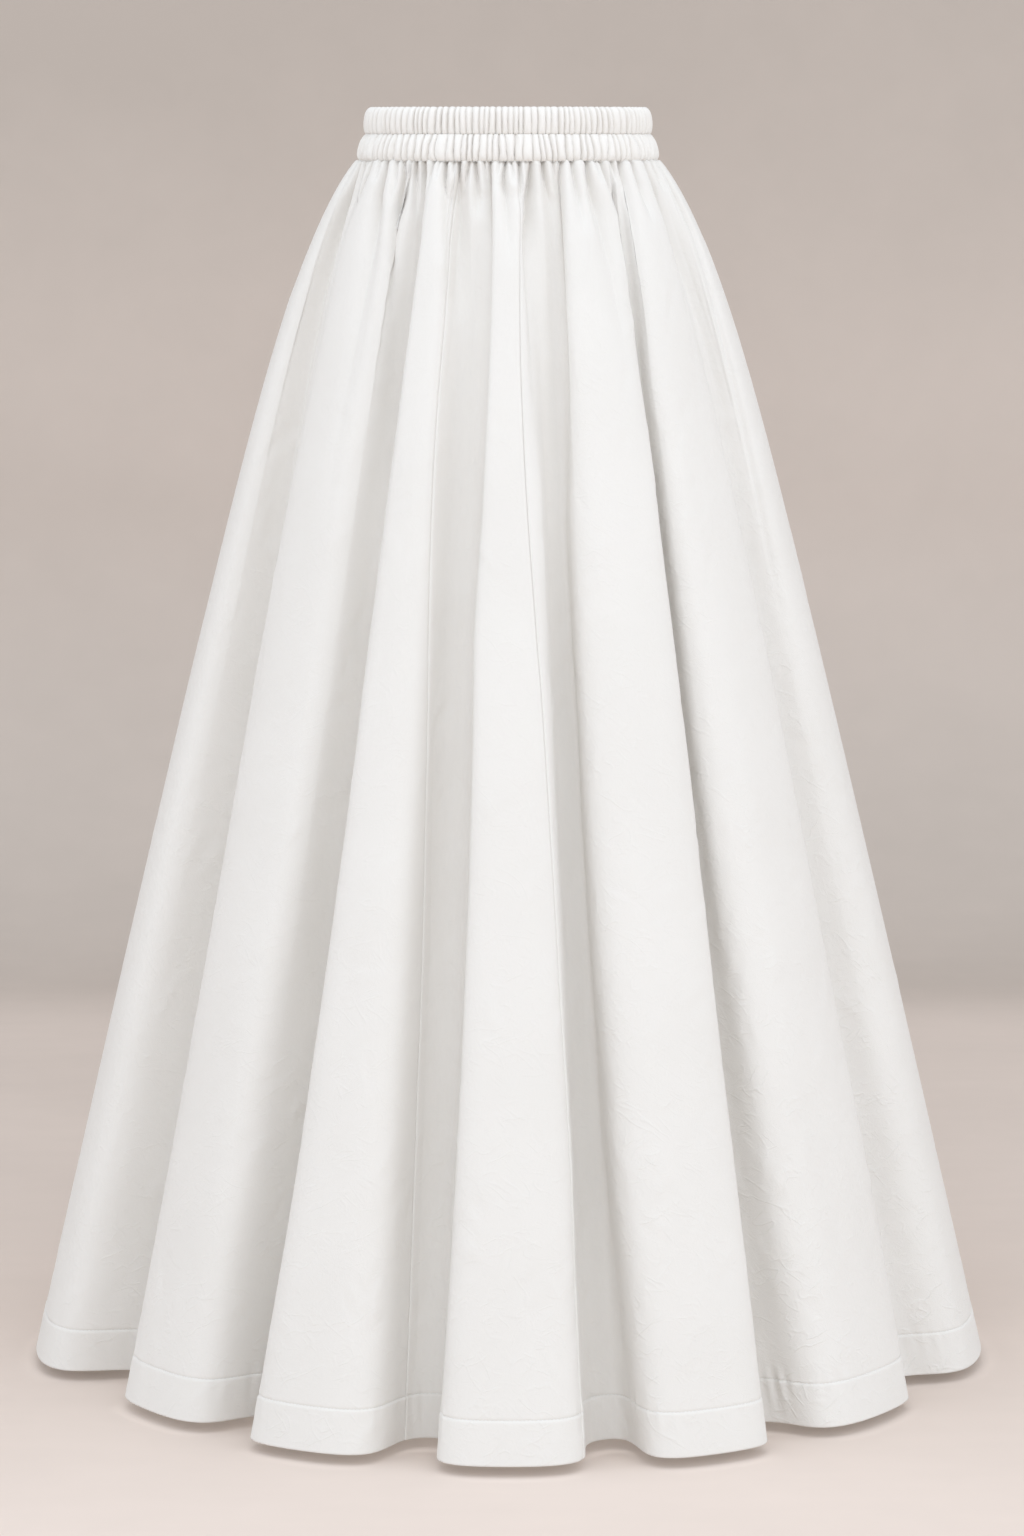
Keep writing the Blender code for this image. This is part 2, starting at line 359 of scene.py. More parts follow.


# Gathers under the band on the front, listed from left to right. Each is a path down the cloth:
# distance below the band, place, depth, and how wide its left and right sides are.
frontGathers = [
    [(0, 0.10, 2.4, 1.5, 1.5), (25, 0.10, 2.6, 2.4, 2.0), (90, 0.08, 0, 5, 4)],
    [(0, 0.33, 2.2, 1.4, 1.4), (20, 0.32, 2.2, 2.2, 2.0), (60, 0.30, 0, 4, 4)],
    [(0, 0.55, 2.6, 1.5, 1.5), (30, 0.54, 2.8, 2.8, 2.0), (110, 0.50, 0, 5, 4)],
    [(0, 0.72, 1.6, 1.2, 1.2), (12, 0.72, 1.4, 1.4, 1.4), (30, 0.71, 0, 2, 2)],
    [(0, 0.87, 3.0, 1.5, 1.5), (28, 0.88, 4.4, 2.3, 1.5), (79, 0.885, 4.0, 5, 1.6), (136, 0.885, 3.4, 10, 2),
     (240, 0.885, 3.4, 14, 2), (500, 0.885, 2.8, 20, 2.5), (900, 0.88, 2.0, 22, 3), (1100, 0.88, 1.6, 22, 3)],
    [(0, 1.05, 3.0, 1.4, 1.4), (20, 1.04, 1.6, 2.4, 2.4), (45, 1.02, 0.6, 4, 4), (80, 1.0, 0, 6, 5)],
    [(0, 1.17, 3.0, 1.3, 1.3), (16, 1.17, 1.6, 1.8, 1.8), (32, 1.16, 0.4, 3, 3), (50, 1.14, 0, 4, 4)],
    [(0, 1.29, 3.6, 1.4, 1.4), (9, 1.32, 4.0, 1.7, 1.5), (28, 1.30, 3.4, 1.9, 1.8), (44, 1.25, 2.2, 2.2, 2.0),
     (70, 1.10, 0, 3, 3)],
    [(0, 1.42, 2.4, 1.2, 1.2), (9, 1.44, 1.4, 1.3, 1.3), (18, 1.45, 0, 2, 2)],
    [(0, 1.50, 5.0, 1.4, 1.4), (9, 1.52, 5.4, 1.9, 1.5), (28, 1.53, 5.2, 3.0, 2.0), (44, 1.55, 4.4, 4.4, 3.0),
     (79, 1.58, 2.8, 6, 5), (136, 1.59, 1.7, 7.5, 7), (227, 1.59, 0.9, 9, 8), (340, 1.60, 0, 11, 10)],
    [(0, 1.61, 3.0, 1.3, 1.3), (9, 1.63, 2.6, 1.5, 1.5), (18, 1.64, 1.6, 1.6, 1.6), (34, 1.64, 0, 2, 2)],
    [(0, 1.68, 4.0, 1.4, 1.4), (12, 1.70, 5.4, 1.6, 2.0), (28, 1.70, 6.0, 2.4, 2.4), (44, 1.72, 5.4, 3.2, 2.6),
     (60, 1.74, 4.2, 3.4, 2.8), (84, 1.77, 2.8, 3.6, 3.8), (125, 1.85, 0, 5, 5)],
    [(0, 1.86, 5.0, 1.5, 1.5), (9, 1.88, 4.6, 1.8, 1.8), (18, 1.92, 3.2, 2.2, 1.8), (30, 1.96, 1.8, 2.4, 2),
     (48, 2.0, 0, 3, 3)],
    [(0, 2.08, 4.6, 1.5, 1.5), (9, 2.09, 6.0, 1.9, 1.7), (28, 2.14, 5.0, 2.4, 2.6), (44, 2.18, 4.8, 4, 2.2),
     (60, 2.20, 4.8, 6, 2.4), (84, 2.21, 4.8, 8, 2.6), (120, 2.20, 4.4, 12, 3), (200, 2.15, 3.2, 14, 5),
     (300, 2.08, 0, 15, 8)],
    [(0, 2.33, 2.8, 1.4, 1.4), (10, 2.32, 2.2, 1.6, 1.6), (26, 2.31, 0, 2, 2)],
    [(0, 2.45, 1.6, 1.1, 1.1), (8, 2.45, 1.0, 1.2, 1.2), (15, 2.45, 0, 2, 2)],
    [(0, 2.56, 5.0, 1.5, 1.5), (9, 2.57, 5.0, 1.7, 1.7), (18, 2.58, 3.8, 2.0, 2.6), (28, 2.62, 2.8, 2.6, 4),
     (44, 2.65, 2.2, 4, 4), (80, 2.66, 0, 6, 6)],
    [(0, 2.71, 2.8, 1.4, 1.4), (7, 2.72, 1.6, 1.4, 1.4), (14, 2.72, 0, 2, 2)],
    [(0, 2.81, 5.0, 1.4, 1.3), (10, 2.82, 5.0, 1.6, 1.5), (28, 2.87, 6.2, 5, 2.2), (44, 2.89, 5.6, 5.5, 2.4),
     (60, 2.89, 5.0, 6, 3), (84, 2.89, 3.4, 6, 5), (130, 2.90, 0, 7, 8)],
    [(0, 2.96, 3.6, 1.3, 1.3), (9, 2.93, 3.6, 1.6, 1.4), (20, 2.91, 2.2, 1.8, 1.6), (30, 2.90, 0, 2, 2)],
    [(0, 3.05, 4.8, 1.5, 1.5), (12, 3.06, 4.2, 1.8, 1.8), (28, 3.07, 2.2, 2.2, 2.4), (46, 3.08, 0, 3, 3)],
    [(0, 3.19, 2.8, 1.2, 1.2), (9, 3.20, 2.2, 1.4, 1.4), (20, 3.21, 0, 2, 2)],
    [(0, 3.28, 4.4, 1.5, 1.4), (12, 3.28, 5.6, 2.2, 1.6), (28, 3.27, 5.2, 4, 2.2), (44, 3.28, 5.4, 4, 2.6),
     (60, 3.30, 5.4, 6, 2.4), (84, 3.32, 5.2, 8, 2.2), (120, 3.33, 5.0, 11, 2.2), (180, 3.33, 4.2, 14, 2.4),
     (260, 3.30, 2.6, 16, 3), (340, 3.26, 0, 18, 6)],
    [(0, 3.42, 2.4, 1.4, 1.4), (8, 3.42, 1.4, 1.5, 1.5), (16, 3.42, 0, 2, 2)],
    [(0, 3.51, 4.6, 1.4, 1.4), (9, 3.49, 5.0, 1.6, 1.6), (18, 3.49, 4.4, 2.2, 2.2), (28, 3.51, 2.8, 2.2, 4),
     (58, 3.53, 1.4, 3, 4), (85, 3.54, 0, 4, 5)],
    [(0, 3.60, 2.8, 1.3, 1.3), (9, 3.61, 1.8, 1.5, 2), (20, 3.62, 0, 2, 3)],
    [(0, 3.72, 4.8, 1.5, 1.5), (10, 3.71, 3.8, 1.6, 1.6), (24, 3.69, 2.0, 1.8, 1.8), (36, 3.68, 0, 2, 2)],
    [(0, 3.81, 2.0, 1.2, 1.2), (12, 3.81, 0, 2, 2)],
    [(0, 3.88, 4.4, 1.5, 1.4), (9, 3.87, 5.8, 1.8, 1.6), (18, 3.85, 6.2, 2.0, 2.2), (28, 3.83, 5.4, 2.4, 2.8),
     (44, 3.81, 5.0, 2.6, 3.4), (60, 3.77, 4.4, 3.4, 5), (84, 3.74, 2.8, 4, 7), (120, 3.74, 1.8, 6, 8),
     (180, 3.72, 1.1, 9, 6), (260, 3.70, 0, 10, 8)],
    [(0, 4.04, 5.0, 1.5, 1.5), (9, 4.04, 4.6, 1.7, 2.0), (28, 4.07, 2.8, 2.6, 2.6), (44, 4.09, 1.5, 2.8, 2.8),
     (62, 4.10, 0, 3, 3)],
    [(0, 4.18, 3.0, 1.4, 1.4), (10, 4.19, 2.6, 1.6, 1.6), (24, 4.19, 0, 2, 2)],
    [(0, 4.28, 4.6, 1.4, 1.4), (12, 4.26, 5.8, 1.8, 1.6), (28, 4.25, 5.4, 4.4, 2.0), (44, 4.23, 5.6, 4.2, 2.6),
     (60, 4.21, 5.4, 5, 3.0), (84, 4.19, 5.2, 5, 4), (120, 4.16, 4.6, 6, 6), (180, 4.15, 3.6, 9, 8),
     (280, 4.12, 0, 12, 12)],
    [(0, 4.38, 4.0, 1.3, 1.4), (10, 4.39, 3.6, 1.7, 2.2), (28, 4.41, 2.4, 2.6, 3), (58, 4.43, 0, 3, 5)],
    [(0, 4.53, 4.6, 1.4, 1.4), (10, 4.52, 5.2, 2.0, 2.0), (28, 4.53, 4.8, 3, 4), (44, 4.55, 4.0, 4, 6),
     (60, 4.56, 3.4, 3.6, 7), (84, 4.58, 2.0, 6, 5), (130, 4.58, 0.9, 6, 7), (190, 4.60, 0, 8, 8)],
    [(0, 4.62, 2.2, 1.3, 1.3), (10, 4.63, 1.2, 1.8, 1.6), (18, 4.63, 0, 2, 2)],
    [(0, 4.68, 4.0, 1.4, 1.4), (10, 4.69, 3.4, 1.6, 1.8), (28, 4.73, 1.8, 1.8, 3), (44, 4.76, 0, 2, 3)],
    [(0, 4.96, 3.0, 1.4, 1.4), (9, 5.02, 1.6, 1.6, 1.6), (18, 5.04, 0, 2, 2)],
    [(0, 5.28, 4.6, 1.4, 1.4), (10, 5.26, 3.6, 1.7, 2.2), (24, 5.27, 1.8, 2.6, 3.6), (60, 5.28, 1.0, 5, 6),
     (105, 5.26, 0.6, 8, 8), (177, 5.20, 0, 9, 10)],
    [(0, 5.51, 4.4, 1.4, 1.4), (9, 5.49, 3.8, 1.6, 2), (28, 5.50, 2.0, 2.4, 3), (50, 5.50, 0, 3, 4)],
    [(0, 5.83, 3.8, 1.4, 1.4), (10, 5.83, 4.2, 1.6, 2.2), (28, 5.93, 4.0, 3, 3.4), (44, 6.00, 3.6, 3.4, 4),
     (79, 6.06, 2.8, 4, 5), (136, 6.14, 1.6, 5, 5), (210, 6.18, 0, 6, 6)],
    [(0, 6.07, 2.2, 1.3, 1.3), (10, 6.10, 1.8, 1.4, 1.4), (26, 6.14, 0, 2, 2)],
    [(0, 6.30, 2.4, 1.3, 1.3), (28, 6.31, 2.2, 1.6, 1.2), (60, 6.34, 1.8, 2.4, 1.6), (130, 6.30, 1.6, 3, 2),
     (290, 6.27, 1.3, 4, 3), (420, 6.25, 0, 5, 4)],
    [(0, 6.50, 2.6, 1.5, 1.5), (20, 6.51, 2.8, 2.2, 2.2), (70, 6.54, 0, 4, 4)],
    [(0, 6.72, 3.0, 1.5, 1.5), (30, 6.69, 3.6, 2.6, 2.2), (120, 6.64, 0, 6, 5)],
]
gatherLook = {
    "seed": 21,
    "peak": 1.28,             # 1 would leave the bottom of a gather pointed, 2 round
    # factors on the tables' depths and widths, by height below the band
    "deepening": [(0, 1.8), (12, 2.1), (30, 2.5), (60, 2.4), (120, 2.2), (250, 1.8)],
    "widening": [(0, 1.0), (15, 1.05), (35, 1.12), (120, 1.12)],
    "deepest": 18.0,
    "bulge": 2.4,             # the cloth between gathers stands out
    "bulgeLength": 60.0,
    "drawnIn": 1.1,           # the topmost edge, pulled in under the band
    "drawnInHeight": 1.4,
    "backFrom": 6.90,         # places between which the hidden back's gathers are drawn
    "backTo": 12.02,
    "backSpacing": 0.150,
}

# Thin crease lines that run on below some gathers: places of both ends, their distances below the
# band, depth and width
thinCreases = [
    (1.60, 1.63, 26, 170, 0.35, 0.9), (1.67, 1.75, 36, 240, 0.32, 0.9), (2.36, 2.33, 18, 130, 0.25, 0.8),
    (3.40, 3.38, 14, 90, 0.25, 0.8), (4.47, 4.42, 28, 120, 0.32, 0.8), (5.72, 5.46, 26, 240, 0.42, 0.9),
    (5.60, 5.44, 30, 110, 0.28, 0.8), (6.12, 6.30, 30, 260, 0.36, 0.9), (0.60, 0.55, 40, 210, 0.3, 0.9),
    (7.42, 7.38, 24, 190, 0.35, 0.9), (8.62, 8.66, 30, 230, 0.35, 0.9), (9.45, 9.42, 20, 140, 0.3, 0.8),
    (10.40, 10.44, 26, 180, 0.32, 0.9), (11.58, 11.52, 30, 220, 0.35, 0.9),
]

# Broad soft troughs (negative: low ridges) lower down the folds, in the same columns
softCreases = [
    (0.42, 0.40, 330, 800, 1.6, 22), (1.60, 1.56, 300, 620, 1.8, 20), (1.34, 1.30, 520, 960, 1.5, 24),
    (1.66, 1.62, 640, 985, -1.2, 16), (2.36, 2.33, 420, 990, 1.5, 18), (2.60, 2.58, 260, 560, 1.0, 16),
    (3.34, 3.31, 380, 990, 1.5, 18), (3.62, 3.66, 330, 760, 1.0, 18), (4.36, 4.34, 300, 985, 1.8, 17),
    (4.62, 4.60, 520, 900, 1.1, 22), (5.20, 5.22, 240, 640, -1.5, 8), (5.36, 5.33, 330, 985, 1.9, 16),
    (5.62, 5.60, 420, 820, 1.1, 22), (6.34, 6.30, 320, 985, 1.8, 18), (6.60, 6.62, 450, 900, 1.3, 24),
    (7.36, 7.33, 340, 960, 1.6, 18), (7.64, 7.60, 280, 620, 1.2, 20), (8.35, 8.38, 420, 985, 1.7, 19),
    (8.66, 8.62, 300, 760, 1.1, 22), (9.36, 9.33, 380, 985, 1.5, 18), (9.62, 9.66, 420, 880, 1.2, 20),
    (10.36, 10.34, 300, 940, 1.7, 18), (10.63, 10.60, 500, 960, 1.2, 22), (11.35, 11.38, 340, 985, 1.6, 19),
    (11.66, 11.62, 280, 700, 1.2, 20),
]

crumpleLook = {
    "seed": 5,
    "count": 2600,
    "halfLength": (7.0, 20.0),
    "halfWidth": (3.6, 6.5),
    "depth": (0.13, 0.56),
    "rightFolds": (4, 5, 6, 8, 10),    # folds with more crumples on their shaded flank
}
waveLook = {"seed": 31, "count": 260, "halfLength": (60.0, 140.0), "halfWidth": (14.0, 30.0),
            "depth": (0.3, 1.1)}

hemLook = {
    "seed": 13,
    "grooveDepth": 0.55,
    "grooveWidth": 0.8,
    "turnThickness": 0.45,     # the turned hem stands out below its stitches
    "puckerWave": (11.0, 17.0),
    "puckerDepth": 0.75,
    "puckerAbove": 7.0,
    "puckerBelow": 20.0,
    "round": 3420.0,           # of cloth, all round
}


def backGathers():
    look = gatherLook
    draw = np.random.default_rng(look["seed"])
    rows, place, kind = [], look["backFrom"], 0
    while place < look["backTo"]:
        valley = round(place)
        drift, deep = draw.uniform(-0.06, 0.06), draw.uniform(0.8, 1.1)
        if abs(place - valley) < 0.20:          # one that runs on into a valley
            crisp = 1 if draw.uniform() < 0.5 else -1
            left, right = (2.2, 6.0) if crisp > 0 else (6.0, 2.2)
            row = [(0, place, 4.4 * deep, 1.5, 1.5), (28, place, 6.4 * deep, 2.4, 2.4),
                   (80, place + 0.3 * (valley - place), 6.0 * deep, left, right),
                   (150, place + 0.5 * (valley - place), 4.0 * deep, left * 1.6, right * 1.6),
                   (280, valley, 0, 12, 12)]
        elif kind % 4 == 1:                     # a long one on a fold
            row = [(0, place, 4.6 * deep, 1.4, 1.4), (26, place, 5.0 * deep, 2.8, 2.2),
                   (80, place + drift, 3.4 * deep, 5.5, 4.5), (210, place + drift, 1.8 * deep, 8, 8),
                   (330, place + drift, 0, 10, 10)]
        else:                                   # a short one
            length = draw.uniform(24, 80)
            row = [(0, place, 3.8 * deep, 1.4, 1.4), (length * 0.4, place + drift / 2, 3.0 * deep, 1.8, 1.8),
                   (length, place + drift, 0, 3, 3)]
        rows.append(row)
        kind += 1
        place += look["backSpacing"] * draw.uniform(0.62, 1.3)
    return rows


def gatherShape(place, drop, metric):
    look = gatherLook
    total = np.zeros_like(drop)
    levels, deepening = zip(*look["deepening"])
    wideLevels, widening = zip(*look["widening"])
    for path in frontGathers + backGathers():
        knots = np.array(path)
        rows = drop[:, 0] < knots[-1, 0] * mm
        below = drop[rows] / mm
        centre, depth, left, right = (np.interp(below, knots[:, 0], knots[:, column]) for column in (1, 2, 3, 4))
        away = aroundFrom(place[rows], centre) * metric[rows] / mm
        share = np.abs(away) / (np.where(away < 0.0, left, right) * np.interp(below, wideLevels, widening))
        depth = depth * np.interp(below, levels, deepening)
        total[rows] += depth * np.exp(-0.69 * share ** look["peak"])
    total = -look["deepest"] * mm * np.tanh(total / look["deepest"])
    total += look["bulge"] * mm * np.exp(-(drop / (look["bulgeLength"] * mm)) ** 2)
    return total


def creaseShape(place, drop, metric):
    total = np.zeros_like(drop)
    for start, end, top, bottom, depth, width in thinCreases + softCreases:
        down = (drop / mm - top) / (bottom - top)
        away = aroundFrom(place, start + (end - start) * down) * metric / (width * mm)
        fade = np.clip(np.sin(np.pi * np.clip(down, 0.0, 1.0)), 0.0, 1.0) ** 0.6
        total -= depth * mm * fade * np.exp(-away ** 2)
    return total


# Many small slanting marks, each a low ridge beside a low trough. The cloth's rows are swept
# once for each mark, only where it lies.
def addMarks(total, place, drop, metric, marks):
    rowDrops = drop[:, 0]
    for centre, level, halfLength, halfWidth, depth, lean, bend in marks:
        first, last = np.searchsorted(rowDrops, (level - 2.2 * halfLength, level + 2.2 * halfLength))
        if last <= first:
            continue
        middle = (first + last) // 2
        reach = 2.4 * (halfLength + halfWidth)
        near = np.abs(aroundFrom(place[middle], centre)) * metric[middle] < reach
        columns = np.flatnonzero(near)
        if not len(columns):
            continue
        patch = np.s_[first:last, columns[0]:columns[-1] + 1]
        across = aroundFrom(place[patch], centre) * metric[patch]
        down = drop[patch] - level
        along = (down * math.cos(lean) + across * math.sin(lean)) / halfLength
        aside = (across * math.cos(lean) - down * math.sin(lean)) / halfWidth - bend * along ** 2
        total[patch] += depth * (aside + 0.25) * np.exp(-aside ** 2 - along ** 2)


def crumpleMarks():
    look = crumpleLook
    draw = np.random.default_rng(look["seed"])
    marks = []
    while len(marks) < look["count"]:
        place, level = draw.uniform(0.0, foldCount), draw.uniform(0.10, 0.985)
        fold, inFold = int(place), place - int(place)
        likely = 0.10 + 0.40 * level ** 1.5
        if fold in look["rightFolds"]:
            likely += 0.75 * math.exp(-((inFold - 0.27) / 0.13) ** 2) * (0.35 + 0.65 * level)
        else:
            likely += 0.22 * math.exp(-((inFold - 0.70) / 0.16) ** 2) * level
        size = draw.uniform(0.0, 1.0, 3)
        lean = draw.normal(-0.62, 0.30) if draw.uniform() < 0.78 else draw.normal(0.55, 0.35)
        sign, bend, keep = draw.choice([-1.0, 1.0]), draw.uniform(-0.8, 0.8), draw.uniform()
        if keep > likely:
            continue
        low, high = look["halfLength"]
        thin, thick = look["halfWidth"]
        shallow, deep = look["depth"]
        strength = shallow + (deep - shallow) * size[2] ** 1.5
        marks.append((place, level * skirtDrop, (low + (high - low) * size[0] ** 1.4) * mm,
                      (thin + (thick - thin) * size[1]) * mm, sign * strength * mm * 1.6, lean, bend))
    return marks


def waveMarks():
    look = waveLook
    draw = np.random.default_rng(look["seed"])
    marks = []
    for _ in range(look["count"]):
        place, level = draw.uniform(0.0, foldCount), draw.uniform(0.15, 0.99) * skirtDrop
        marks.append((place, level, draw.uniform(*look["halfLength"]) * mm, draw.uniform(*look["halfWidth"]) * mm,
                      draw.choice([-1.0, 1.0]) * draw.uniform(*look["depth"]) * mm, draw.normal(0.0, 0.18),
                      draw.uniform(-0.3, 0.3)))
    return marks


# How strongly the cloth is creased, from 0 to 1, for the finest marks in the material
def creasedShare(place, drop):
    level = np.clip(drop / skirtDrop, 0.0, 1.0)
    fold = np.floor(place).astype(int) % foldCount
    inFold = place - np.floor(place)
    flank = np.exp(-((inFold - 0.27) / 0.15) ** 2)
    right = np.isin(fold, crumpleLook["rightFolds"])
    share = 0.16 + 0.22 * level ** 2
    share = share + np.where(right, 0.62 * flank * (0.30 + 0.70 * level), 0.15 * level)
    return np.clip(share * np.clip(drop / 0.08, 0.0, 1.0), 0.0, 1.0)


def hemShape(place, drop):
    look = hemLook
    draw = np.random.default_rng(look["seed"])
    below = drop - stitchDrop
    wave = np.zeros_like(drop)
    pull = np.zeros_like(drop)
    for _ in range(7):
        turns = round(look["round"] / draw.uniform(*look["puckerWave"]))
        start = draw.uniform(0.0, 6.28)
        wave += np.sin(2.0 * np.pi * place * turns / foldCount + start + below * draw.uniform(-70, 10))
        turns = round(draw.uniform(14, 60))
        pull += np.sin(2.0 * np.pi * place * turns / foldCount + draw.uniform(0.0, 6.28))
    inFold = place - np.floor(place)
    flanks = np.exp(-((inFold - 0.24) / 0.16) ** 2) + 0.7 * np.exp(-((inFold - 0.80) / 0.14) ** 2)
    strength = np.clip(0.12 + 0.75 * flanks + 0.16 * pull, 0.0, 1.2)
    reach = np.where(below < 0.0, look["puckerAbove"], look["puckerBelow"]) * mm
    total = look["puckerDepth"] * mm * wave / 3.4 * strength * np.exp(-(below / reach) ** 2)
    groove = np.exp(-(below / (look["grooveWidth"] * mm)) ** 2)
    total -= look["grooveDepth"] * mm * groove
    total += look["turnThickness"] * mm * np.clip(below / (1.5 * mm), 0.0, 1.0)
    return total


# The gores. Each seam has its places down the skirt, counted in folds from the left side.
seamLook = {"grooveDepth": 0.50, "grooveWidth": 0.75, "allowance": 7.5, "allowanceHeight": 0.42,
            "clear": 0.08 * mm}
seamPaths = {
    "leftSide": [(0.0, 0.50), (1.0, 0.50)],
    "frontLeft": [(0.0, 2.83), (0.08, 2.775), (0.17, 2.696), (0.28, 2.70), (0.42, 2.765), (0.60, 2.834),
                  (1.0, 2.875)],
    "frontRight": [(0.0, 3.71), (0.05, 3.638), (0.12, 3.584), (0.27, 3.59), (0.50, 3.66), (0.75, 3.70),
                   (1.0, 3.71)],
    "rightSide": [(0.0, 6.50), (1.0, 6.50)],
    "backRight": [(0.0, 8.78), (0.2, 8.74), (1.0, 8.76)],
    "backLeft": [(0.0, 9.73), (0.2, 9.76), (1.0, 9.75)],
}
# A row for each gore, between one seam and the next: piece, node, and its cut's width at the hem and area
goreLength = 1.04
goreRows = [
    ("goreFrontLeft", "gore_front_left", 0.70, 0.485),
    ("goreFrontCentre", "gore_front_centre", 0.22, 0.165),
    ("goreFrontRight", "gore_front_right", 0.75, 0.570),
    ("goreBackRight", "gore_back_right", 0.69, 0.490),
    ("goreBackCentre", "gore_back_centre", 0.28, 0.205),
    ("goreBackLeft", "gore_back_left", 0.78, 0.560),
]
seams = list(seamPaths)
gores = {
    name: {"node": node, "left": left, "right": right, "flat": (width, goreLength), "area": area}
    for (name, node, width, area), left, right in zip(goreRows, seams, seams[1:] + seams[:1])
}
goreMesh = {
    "columnsPerFold": 100,
    "seamOffsets": (0.0015, 0.0035, 0.0060, 0.0100),
    "clothThickness": 0.6,
    "hemThickness": 1.5,
    "innerColumnStep": 2,
    "innerRowStep": 4,
    "edgeRadius": 0.6,         # how the shell thins toward the hem's edge
    "surfaceInset": 0.45,
}


def seamPlace(name, drop):
    heights, places = zip(*seamPaths[name])
    fine = np.linspace(0.0, 1.0, 101)
    smooth = np.convolve(np.pad(np.interp(fine, heights, places), 6, mode="edge"), np.ones(13) / 13.0, "valid")
    return np.interp(drop / skirtDrop, fine, smooth)


def rowDrops():
    top = np.concatenate([[-0.0014, -0.0007, 0.0, 0.0005, 0.0011], np.arange(0.0018, 0.030, 0.0013)])
    nearStitch = np.array([-6.0, -3.6, -2.0, -1.1, -0.5, 0.0, 0.5, 1.1, 2.0, 3.6, 6.0]) * mm
    middle = np.linspace(0.031, stitchDrop - 0.010, 206)
    turned = np.linspace(stitchDrop + 0.009, skirtDrop - 0.004, 7)
    edge = skirtDrop - np.array([2.4, 1.3, 0.6, 0.25, 0.0]) * mm
    return np.concatenate([top, middle, stitchDrop + nearStitch, turned, edge])


def seamShape(place, drop, metric):
    look = seamLook
    total = np.zeros_like(drop)
    for name in seamPaths:
        away = aroundFrom(place, seamPlace(name, drop)) * metric
        total -= look["grooveDepth"] * mm * np.exp(-(away / (look["grooveWidth"] * mm)) ** 2)
        width = look["allowance"] * mm
        ledge = np.clip(away / (0.8 * mm), 0.0, 1.0) * np.clip((width - away) / (2.5 * mm), 0.0, 1.0)
        total += look["allowanceHeight"] * mm * ledge * np.clip(drop / 0.03, 0.0, 1.0)
    return total


# Every mark of the cloth together, as metres outward
def clothShape(place, drop, metric):
    total = gatherShape(place, drop, metric) + creaseShape(place, drop, metric)
    addMarks(total, place, drop, metric, waveMarks())
    addMarks(total, place, drop, metric, crumpleMarks())
    total += hemShape(place, drop) + seamShape(place, drop, metric)
    drawnIn, height = gatherLook["drawnIn"] * mm, gatherLook["drawnInHeight"] * mm
    total -= drawnIn * np.clip(1.0 - drop / height, 0.0, 2.0)
    return total


def gorePlaces(gore, drops):
    left, right = seamPlace(gore["left"], drops), seamPlace(gore["right"], drops)
    right = np.where(right < left, right + foldCount, right)
    offsets = np.array((0.0,) + goreMesh["seamOffsets"])
    inside = round(float(right[0] - left[0]) * goreMesh["columnsPerFold"])
    steps = np.linspace(0.0, 1.0, inside)
    margin = 2.0 * offsets[-1]
    body = (left + margin)[:, None] + (right - left - 2.0 * margin)[:, None] * steps
    return np.concatenate([left[:, None] + offsets, body, right[:, None] - offsets[::-1]], axis=1)


# Faces of a closed shell: a fine outer grid, and a coarse inner one whose outermost faces take in
# every point of the rim
def shellFaces(rows, columns):
    number = np.arange(rows * columns).reshape(rows, columns)
    back = number + rows * columns
    quads = np.stack([number[:-1, :-1], number[1:, :-1], number[1:, 1:], number[:-1, 1:]], axis=-1)
    faces = quads.reshape(-1, 4).tolist()
    keepRows = sorted({*range(0, rows - 1, goreMesh["innerRowStep"]), rows - 1})
    keepColumns = sorted({*range(0, columns - 1, goreMesh["innerColumnStep"]), columns - 1})
    for top, bottom in zip(keepRows, keepRows[1:]):
        for left, right in zip(keepColumns, keepColumns[1:]):
            face = [back[top, left]]
            face += list(back[top, left + 1:right]) if top == 0 else []
            face.append(back[top, right])
            face += list(back[top + 1:bottom, right]) if right == columns - 1 else []
            face.append(back[bottom, right])
            face += list(back[bottom, left + 1:right][::-1]) if bottom == rows - 1 else []
            face.append(back[bottom, left])
            face += list(back[top + 1:bottom, left][::-1]) if left == 0 else []
            faces.append([int(point) for point in face])
    rim = list(number[0, :-1]) + list(number[:-1, -1]) + list(number[-1, :0:-1]) + list(number[:0:-1, 0])
    for here, beyond in zip(rim, rim[1:] + rim[:1]):
        offset = rows * columns
        faces.append([int(here), int(beyond), int(beyond + offset), int(here + offset)])
    return faces


def makeMesh(name, points, faces, material):
    mesh = bpy.data.meshes.new(name)
    mesh.from_pydata(points.reshape(-1, 3).tolist(), [], faces)
    mesh.materials.append(material)
    mesh.shade_smooth()
    return putInScene(name, mesh)


def addCloth(piece, flat, creased=None):
    layer = piece.data.uv_layers.new(name="cloth")
    loops = np.zeros(len(piece.data.loops), np.int32)
    piece.data.loops.foreach_get("vertex_index", loops)
    layer.data.foreach_set("uv", flat[loops].astype(np.float32).ravel())
    if creased is not None:
        attribute = piece.data.attributes.new("creased", "FLOAT", "POINT")
        attribute.data.foreach_set("value", creased.astype(np.float32))


